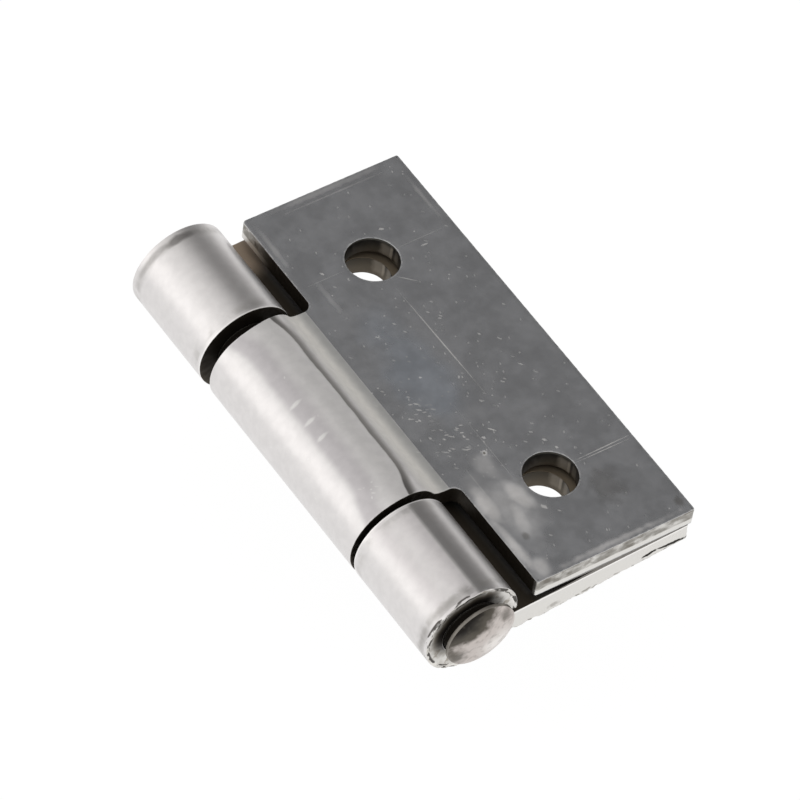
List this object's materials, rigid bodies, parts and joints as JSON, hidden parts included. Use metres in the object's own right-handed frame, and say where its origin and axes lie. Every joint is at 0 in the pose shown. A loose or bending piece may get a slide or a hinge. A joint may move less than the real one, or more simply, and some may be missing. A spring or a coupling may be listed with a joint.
{
  "type": "butt hinge",
  "caption": "Steel butt hinge: flat leaves with screw holes, each curled from sheet into knuckles round a headed pin, shown closed.",
  "frame": {"origin": "middle of the fixed leaf's screw holes, on the outer face that is screwed down", "axes": "+X along the pin towards its head, +Y from the pin to the leaves' free edges, +Z from the fixed leaf to the moving leaf when closed"},
  "size_m": [0.0525, 0.0302, 0.0102],
  "materials": {
    "leaf_steel": "bright cold-rolled sheet with fine scratches, scribed lines and sheared edges",
    "pin_steel": "drawn bar with a hammered head"
  },
  "bodies": {
    "fixed": {"fixed_leaf": "leaf_steel", "hinge_pin": "pin_steel"},
    "moving": {"moving_leaf": "leaf_steel"}
  },
  "joints": [
    {"name": "leaf_swing", "type": "hinge", "parent": "fixed", "child": "moving", "pos_m": [0, -0.01485, 0.00318], "axis": [1, 0, 0], "range_deg": [0, 270]}
  ]
}
